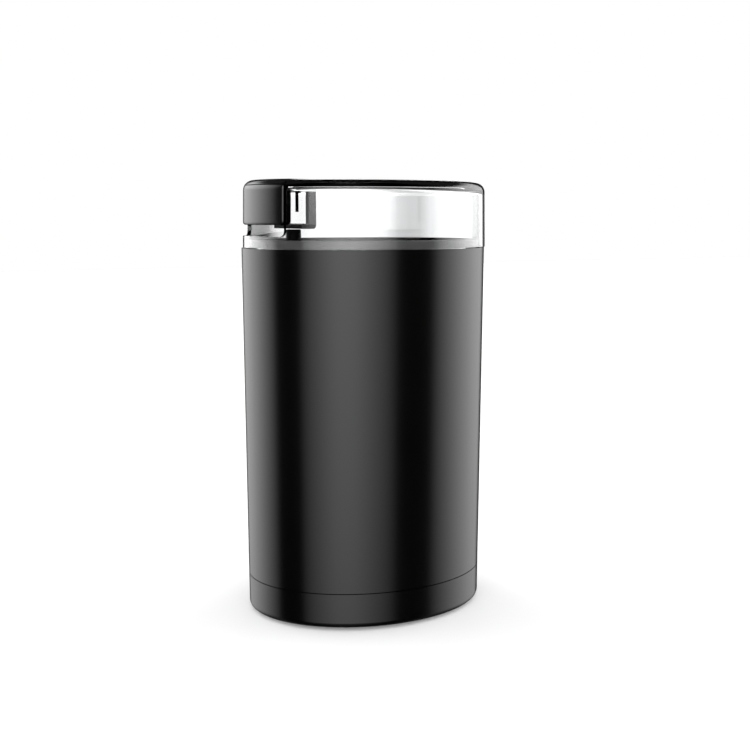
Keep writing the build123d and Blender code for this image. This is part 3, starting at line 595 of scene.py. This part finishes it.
def makeLid():
    shell = stackRings("clearLid", ovalForm(lid["low"], lid["high"], 0.0, lid["edge"], lid["lip"]))
    innerLow, innerTop = lid["low"] - lid["past"], lid["high"] - lid["top"]
    carve(shell, stackRings("hollow", ovalForm(innerLow, innerTop, -lid["wall"], lid["innerEdge"], 0.0)))
    carve(shell, stackRings("window", wedgeForm()))
    shell.data.shade_smooth()
    shell.data.set_sharp_from_angle(angle=math.radians(lid["sharp"]))
    shell.data.materials.clear()
    shell.data.materials.append(finishes["clear_plastic"])
    standFor(shell, "lid", "lid_shell")
    print("lid made:", len(shell.data.polygons), "faces")


makeLid()

# Copper windings
copperWire = {"radius": 0.00037, "sides": 6, "pitch": 0.0008, "endTurn": 0.007}
coilLow, coilHigh = (corner[2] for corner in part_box("field_coils"))
slotLow, slotHigh = coilLow + copperWire["endTurn"], coilHigh - copperWire["endTurn"]
fieldWire = {
    "radius": 0.0183,
    "sides": (13.5, 166.5),
    "rise": 0.00375,
    "bend": 0.0042,
    "bendSteps": 6,
    "step": 0.002,
    "across": 8,
    "layers": 6,
    "copies": 2,
}
rotorWire = {
    "slotRing": 0.0116,
    "dip": 0.0087,
    "dipHaste": 1.6,
    "span": 5,
    "rise": (0.0012, 0.0048),
    "riseHaste": 6,
    "slotSteps": 8,
    "endSteps": 24,
    "across": 3,
    "layers": 3,
    "copies": 12,
}


def openTree(name, sockets):
    # a geometry tree with named inputs; gives its inputs as wires
    group = bpy.data.node_groups.new(name, "GeometryNodeTree")
    for title, kind in sockets:
        group.interface.new_socket(title, in_out="INPUT", socket_type="NodeSocket" + kind)
    group.interface.new_socket("Shape", in_out="OUTPUT", socket_type="NodeSocketGeometry")
    tree = Tree(group)
    return tree, tree.add("NodeGroupInput", out=tuple(title for title, kind in sockets))


def closeTree(tree, shape, finish):
    real = tree.add("GeometryNodeRealizeInstances", sockets={"Geometry": shape})
    smooth = tree.add("GeometryNodeSetShadeSmooth", sockets={"Geometry": real})
    done = tree.add("GeometryNodeSetMaterial", sockets={"Geometry": smooth, "Material": finish})
    tree.add("NodeGroupOutput", sockets={"Shape": done}, out=None)
    return tree.tree


def grow(piece, group, values):
    # runs the tree on a piece and keeps the plain mesh
    layer = piece.modifiers.new(group.name, "NODES")
    layer.node_group = group
    for item in group.interface.items_tree:
        if item.in_out == "INPUT" and item.name in values:
            layer[item.identifier] = values[item.name]
    settle(piece)
    print(piece.name, "made:", len(piece.data.polygons), "faces")


def windingTree():
    # lays a bundle of wires along a loop and turns copies of it about the shaft
    tree, inputs = openTree("woundWire", [("Loop", "Geometry"), ("Wires across", "Int"), ("Layers", "Int"),
                                          ("Pitch", "Float"), ("Wire radius", "Float"), ("Wire sides", "Int"),
                                          ("Copies", "Int"), ("Shaft", "Vector"), ("Finish", "Material")])
    loop, across, layers, pitch, wire, sides, copies, shaft, finish = inputs

    path = tree.add("GeometryNodeMeshToCurve", sockets={"Mesh": loop})
    many, number = tree.add("GeometryNodeDuplicateElements", {"domain": "SPLINE"},
                            {"Geometry": path, "Amount": across * layers},
                            out=("Geometry", "Duplicate Index"))
    layer = (number / across).maths("FLOOR")
    column = number - layer * across
    shifts = []
    for way, count, total in (("sideways", column, across), ("outward", layer, layers)):
        toward = tree.add("GeometryNodeInputNamedAttribute", {"data_type": "FLOAT_VECTOR"}, {"Name": way})
        shifts.append(tree.add("ShaderNodeVectorMath", {"operation": "SCALE"},
                               {0: toward, "Scale": (count - (total - 1) / 2) * pitch}))
    shift = tree.add("ShaderNodeVectorMath", {"operation": "ADD"}, {0: shifts[0], 1: shifts[1]})
    laid = tree.add("GeometryNodeSetPosition", sockets={"Geometry": many, "Offset": shift})
    section = tree.add("GeometryNodeCurvePrimitiveCircle", sockets={"Resolution": sides, "Radius": wire})
    wires = tree.add("GeometryNodeCurveToMesh", sockets={"Curve": laid, "Profile Curve": section})

    spots = tree.add("GeometryNodeMeshLine", sockets={"Count": copies, "Start Location": shaft,
                                                      "Offset": (0, 0, 0)})
    turn = tree.join(0.0, 0.0, tree.add("GeometryNodeInputIndex") * (2 * math.pi) / copies)
    placed = tree.add("GeometryNodeInstanceOnPoints", sockets={"Points": spots, "Instance": wires,
                                                               "Rotation": turn})
    return closeTree(tree, placed, finish)


def loopObject(name, points):
    # points: place, sideways way and outward way of each corner of a closed loop
    mesh = bpy.data.meshes.new(name)
    count = len(points)
    mesh.from_pydata([row[0] for row in points], [(i, (i + 1) % count) for i in range(count)], [])
    for column, title in ((1, "sideways"), (2, "outward")):
        ways = mesh.attributes.new(title, "FLOAT_VECTOR", "POINT")
        for i, row in enumerate(points):
            ways.data[i].vector = row[column]
    return place(name, mesh)


def wind(piece, spec, body, node):
    grow(piece, woundWire, {"Wires across": spec["across"], "Layers": spec["layers"],
                            "Copies": spec["copies"], "Pitch": copperWire["pitch"],
                            "Wire radius": copperWire["radius"],
                            "Wire sides": copperWire["sides"], "Shaft": (bowlAxis, 0.0, 0.0),
                            "Finish": finishes["copper"]})
    standFor(piece, body, node)


def fieldLoop():
    # round a pole: under it, up one slot, over the end and down the other, laid flat first
    reach, bend = fieldWire["radius"], fieldWire["bend"]
    left, right = (math.radians(a) * reach for a in fieldWire["sides"])
    low, high = slotLow - fieldWire["rise"], slotHigh + fieldWire["rise"]
    flat = []
    for u, z, start in ((left, low, 180), (right, low, 270), (right, high, 0), (left, high, 90)):
        cu = u + (bend if u == left else -bend)
        cz = z + (bend if z == low else -bend)
        for turn in quarter(fieldWire["bendSteps"]):
            way = (math.cos(math.radians(start) + turn), math.sin(math.radians(start) + turn))
            flat.append((cu + bend * way[0], cz + bend * way[1], *way))
    points = []
    for i, corner in enumerate(flat):
        following = flat[(i + 1) % len(flat)]
        steps = max(1, round(math.dist(corner[:2], following[:2]) / fieldWire["step"]))
        for k in range(steps):
            u, z, wu, wz = (a + (b - a) * k / steps for a, b in zip(corner, following))
            # then bent round the shaft
            out = (math.cos(u / reach), math.sin(u / reach), 0.0)
            points.append(((reach * out[0], reach * out[1], z), (-out[1] * wu, out[0] * wu, wz), out))
    return points


def rotorLoop():
    # up one slot, round the shaft to the slot five on, down and back under
    ring, dip, slotSteps, endSteps = (rotorWire[key] for key in ("slotRing", "dip", "slotSteps", "endSteps"))
    span = 2 * math.pi * rotorWire["span"] / rotorWire["copies"]
    points = []

    def put(angle, reach, z, lift):
        out = (math.cos(angle), math.sin(angle), 0.0)
        side = (-out[1] * (1 - lift), out[0] * (1 - lift), lift)
        points.append(((reach * out[0], reach * out[1], z), side, out))

    up = (0.0, span, slotLow, slotHigh, rotorWire["rise"], 1)
    down = (span, 0.0, slotHigh, slotLow, rotorWire["rise"][::-1], -1)
    for start, end, foot, head, rise, way in (up, down):
        for i in range(slotSteps + 1):
            put(start, ring, foot + (head - foot) * i / slotSteps, 0.0)
        for i in range(1, endSteps):
            t = i / endSteps
            inward = min(1.0, rotorWire["dipHaste"] * math.sin(math.pi * t))
            edge = min(1.0, rotorWire["riseHaste"] * t, rotorWire["riseHaste"] * (1 - t))
            lift = rise[0] + (rise[1] - rise[0]) * t
            put(start + (end - start) * t, ring + (dip - ring) * inward, head + way * lift * edge, edge)
    return points


woundWire = windingTree()
wind(loopObject("fieldWire", fieldLoop()), fieldWire, "housing", "field_coils")
wind(loopObject("rotorWire", rotorLoop()), rotorWire, "rotor", "rotor_windings")

# Return spring of the push rod
spring = {
    "turns": 5.0,
    "steps": 28,
    "radius": 0.00285,
    "wire": 0.00035,
    "sides": 10,
    "press": 0.004,
}


def springTree():
    # a wire that climbs in a spiral from its foot
    tree, inputs = openTree("coilSpring", [("Turns", "Float"), ("Steps a turn", "Int"),
                                           ("Coil radius", "Float"), ("Wire radius", "Float"),
                                           ("Wire sides", "Int"), ("Height", "Float"), ("Foot", "Vector"),
                                           ("Finish", "Material")])
    turns, steps, radius, wire, sides, height, foot, finish = inputs
    path = tree.add("GeometryNodeCurveSpiral", sockets={"Resolution": steps, "Rotations": turns,
                                                        "Height": height, "Start Radius": radius,
                                                        "End Radius": radius})
    section = tree.add("GeometryNodeCurvePrimitiveCircle", sockets={"Resolution": sides, "Radius": wire})
    coil = tree.add("GeometryNodeCurveToMesh", sockets={"Curve": path, "Profile Curve": section,
                                                        "Fill Caps": True})
    placed = tree.add("GeometryNodeTransform", sockets={"Geometry": coil, "Translation": foot})
    return closeTree(tree, placed, finish)


def makeSpring():
    low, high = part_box("rod_spring")
    middle = (low[0] + high[0]) / 2
    tall = high[2] - low[2]
    piece = place("rodSpring", bpy.data.meshes.new("rodSpring"))
    grow(piece, springTree(), {"Turns": spring["turns"], "Steps a turn": spring["steps"],
                               "Coil radius": spring["radius"], "Wire radius": spring["wire"],
                               "Wire sides": spring["sides"], "Height": tall - 2 * spring["wire"],
                               "Foot": (middle, 0.0, low[2] + spring["wire"]),
                               "Finish": finishes["spring_steel"]})
    standFor(piece, "housing", "rod_spring")
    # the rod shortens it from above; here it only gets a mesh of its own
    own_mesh(piece)


makeSpring()

bpy.context.scene.view_settings.view_transform = "Standard"
